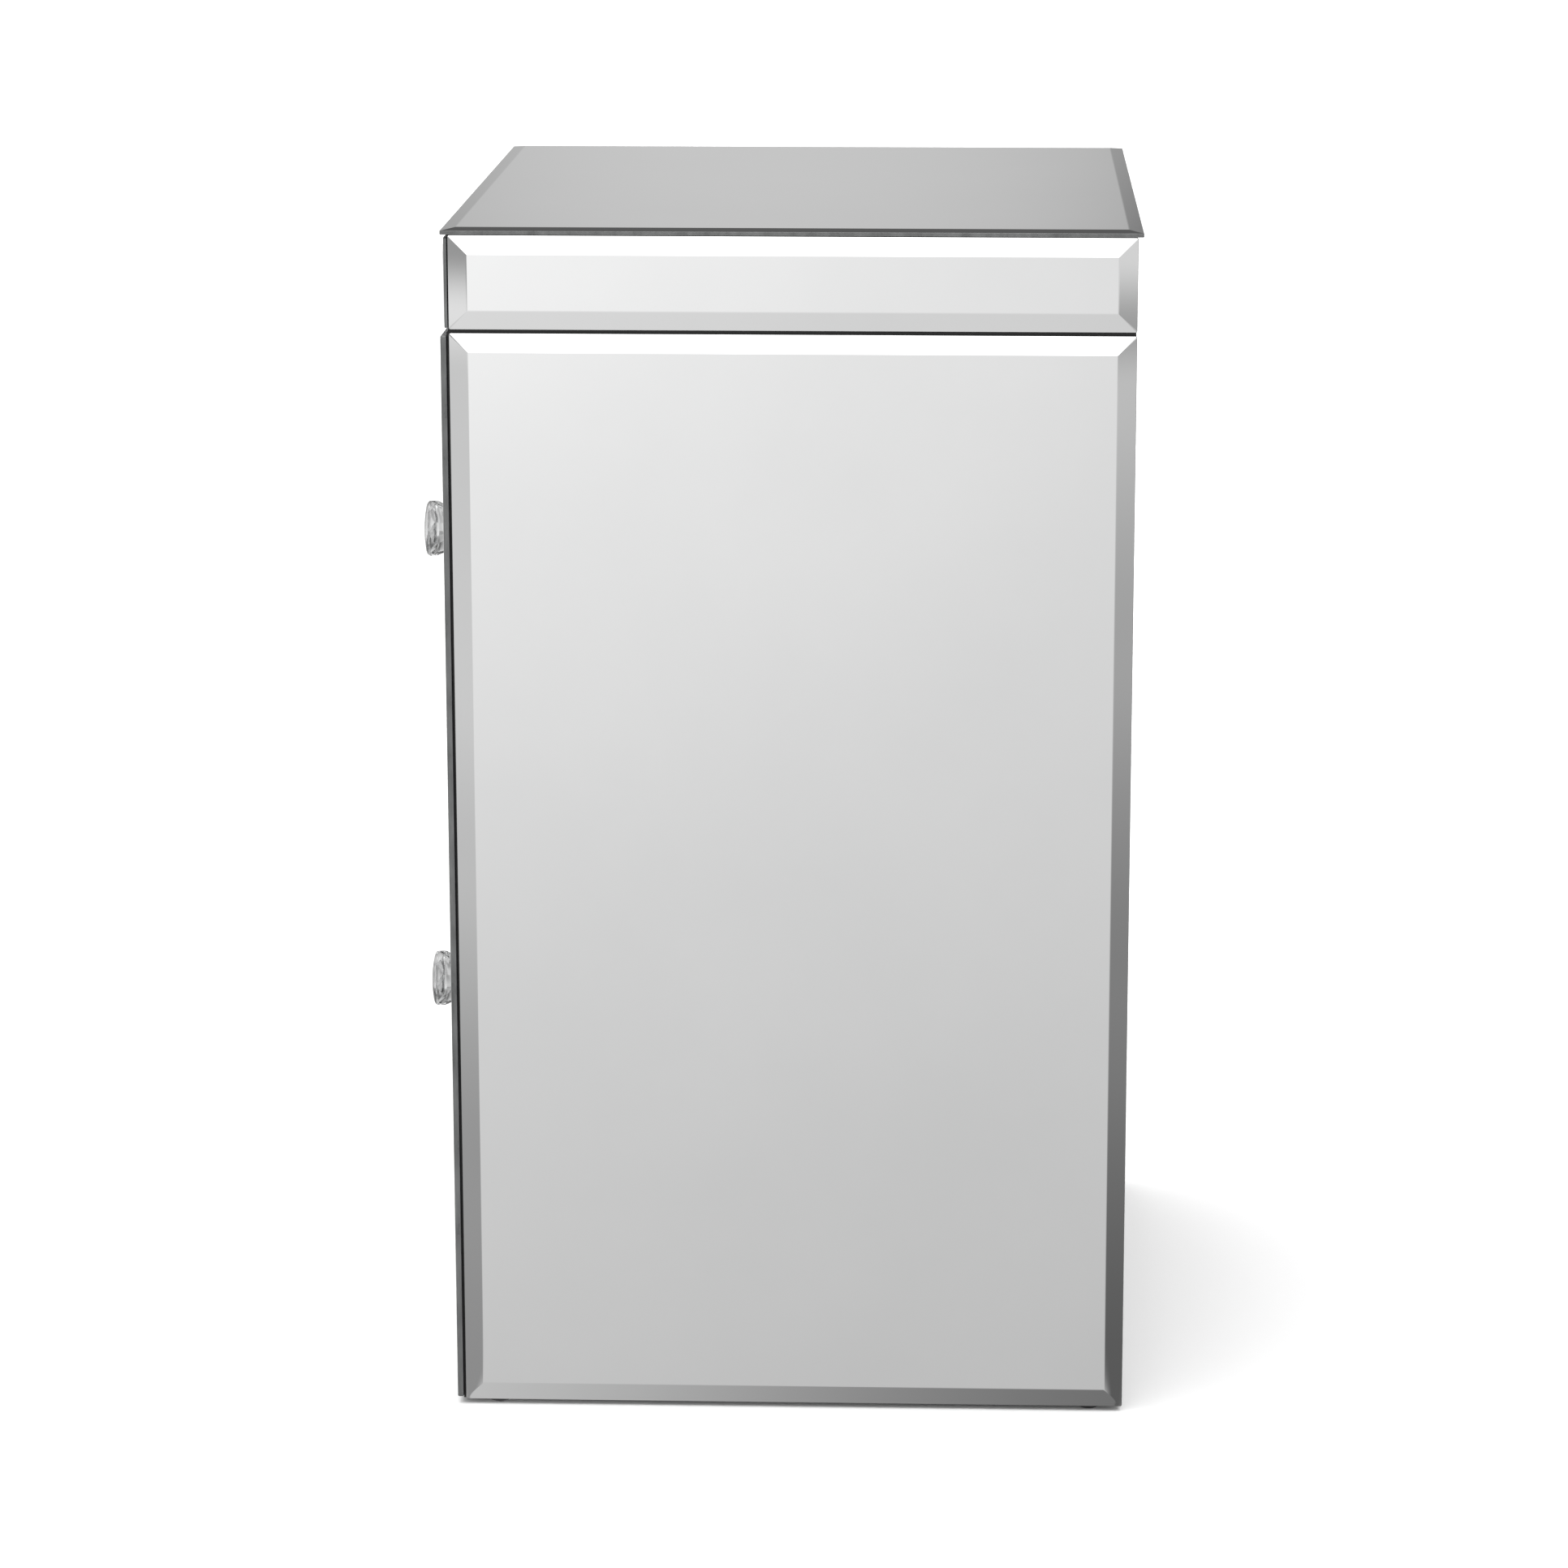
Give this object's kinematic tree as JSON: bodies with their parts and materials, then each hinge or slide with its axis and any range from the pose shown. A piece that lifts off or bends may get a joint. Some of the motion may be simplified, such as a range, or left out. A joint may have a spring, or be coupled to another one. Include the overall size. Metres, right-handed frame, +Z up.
{
  "type": "mirrored armoire cabinet",
  "caption": "Low mirrored armoire cabinet with bevelled glass panes, deep drawers on full-extension ball-bearing runners and faceted crystal knobs.",
  "frame": {"origin": "on the floor, under the middle of the whole part's bounding box, which takes in the knobs in front and the overhanging top pane", "axes": "+Z up, -Y out of the drawer fronts, +X towards the right-hand side pane as seen looking along +Y at the drawers"},
  "size_m": [0.457, 0.4416, 0.715],
  "materials": {
    "mirror_glass": "silvered clear float glass, polished, with a wide ground and polished bevel",
    "lacquered_board": "satin black lacquer on medium-density fibreboard",
    "back_board": "matt black painted hardboard with a faint mesh texture",
    "box_board": "matt charcoal melamine board",
    "flocked_lining": "thin board flocked with short grey fibre on its upper face",
    "zinc_steel": "bright zinc-plated rolled steel",
    "knob_metal": "polished chrome plate",
    "crystal": "clear polished crystal, domed in front and facet-cut behind",
    "glide_plastic": "black moulded nylon"
  },
  "bodies": {
    "cabinet": {"side_panel_right": "lacquered_board", "side_panel_left": "lacquered_board", "top_panel": "lacquered_board", "bottom_panel": "lacquered_board", "back_panel": "back_board", "plinth_rail": "lacquered_board", "middle_rail": "lacquered_board", "upper_rail": "lacquered_board", "apron_rail": "lacquered_board", "top_mirror": "mirror_glass", "upper_side_mirror_right": "mirror_glass", "upper_side_mirror_left": "mirror_glass", "lower_side_mirror_right": "mirror_glass", "lower_side_mirror_left": "mirror_glass", "stile_mirror_right": "mirror_glass", "stile_mirror_left": "mirror_glass", "apron_mirror": "mirror_glass", "plinth_mirror": "mirror_glass", "middle_rail_mirror": "mirror_glass", "upper_rail_mirror": "mirror_glass", "glide_front_right": "glide_plastic", "glide_front_left": "glide_plastic", "glide_back_right": "glide_plastic", "glide_back_left": "glide_plastic", "lower_drawer_runner_outer_right": "zinc_steel", "lower_drawer_runner_outer_left": "zinc_steel", "upper_drawer_runner_outer_right": "zinc_steel", "upper_drawer_runner_outer_left": "zinc_steel"},
    "lower_drawer": {"lower_drawer_mirror": "mirror_glass", "lower_drawer_front": "lacquered_board", "lower_drawer_side_right": "box_board", "lower_drawer_side_left": "box_board", "lower_drawer_inner_front": "box_board", "lower_drawer_back": "box_board", "lower_drawer_bottom": "flocked_lining", "lower_drawer_knob_base": "knob_metal", "lower_drawer_knob_crystal": "crystal", "lower_drawer_knob_screw": "zinc_steel", "lower_drawer_runner_inner_right": "zinc_steel", "lower_drawer_runner_inner_left": "zinc_steel"},
    "lower_runner_middles": {"lower_drawer_runner_middle_right": "zinc_steel", "lower_drawer_runner_middle_left": "zinc_steel"},
    "upper_drawer": {"upper_drawer_mirror": "mirror_glass", "upper_drawer_front": "lacquered_board", "upper_drawer_side_right": "box_board", "upper_drawer_side_left": "box_board", "upper_drawer_inner_front": "box_board", "upper_drawer_back": "box_board", "upper_drawer_bottom": "flocked_lining", "upper_drawer_knob_base": "knob_metal", "upper_drawer_knob_crystal": "crystal", "upper_drawer_knob_screw": "zinc_steel", "upper_drawer_runner_inner_right": "zinc_steel", "upper_drawer_runner_inner_left": "zinc_steel"},
    "upper_runner_middles": {"upper_drawer_runner_middle_right": "zinc_steel", "upper_drawer_runner_middle_left": "zinc_steel"}
  },
  "joints": [
    {"name": "lower_drawer_slide", "type": "slide", "parent": "cabinet", "child": "lower_drawer", "axis": [0, -1, 0], "range_m": [0, 0.33]},
    {"name": "lower_runner_slide", "type": "slide", "parent": "cabinet", "child": "lower_runner_middles", "axis": [0, -1, 0], "range_m": [0, 0.165]},
    {"name": "upper_drawer_slide", "type": "slide", "parent": "cabinet", "child": "upper_drawer", "axis": [0, -1, 0], "range_m": [0, 0.33]},
    {"name": "upper_runner_slide", "type": "slide", "parent": "cabinet", "child": "upper_runner_middles", "axis": [0, -1, 0], "range_m": [0, 0.165]}
  ],
  "couplings": [
    {"joint": "lower_runner_slide", "follows": "lower_drawer_slide", "ratio": 0.5},
    {"joint": "upper_runner_slide", "follows": "upper_drawer_slide", "ratio": 0.5}
  ]
}
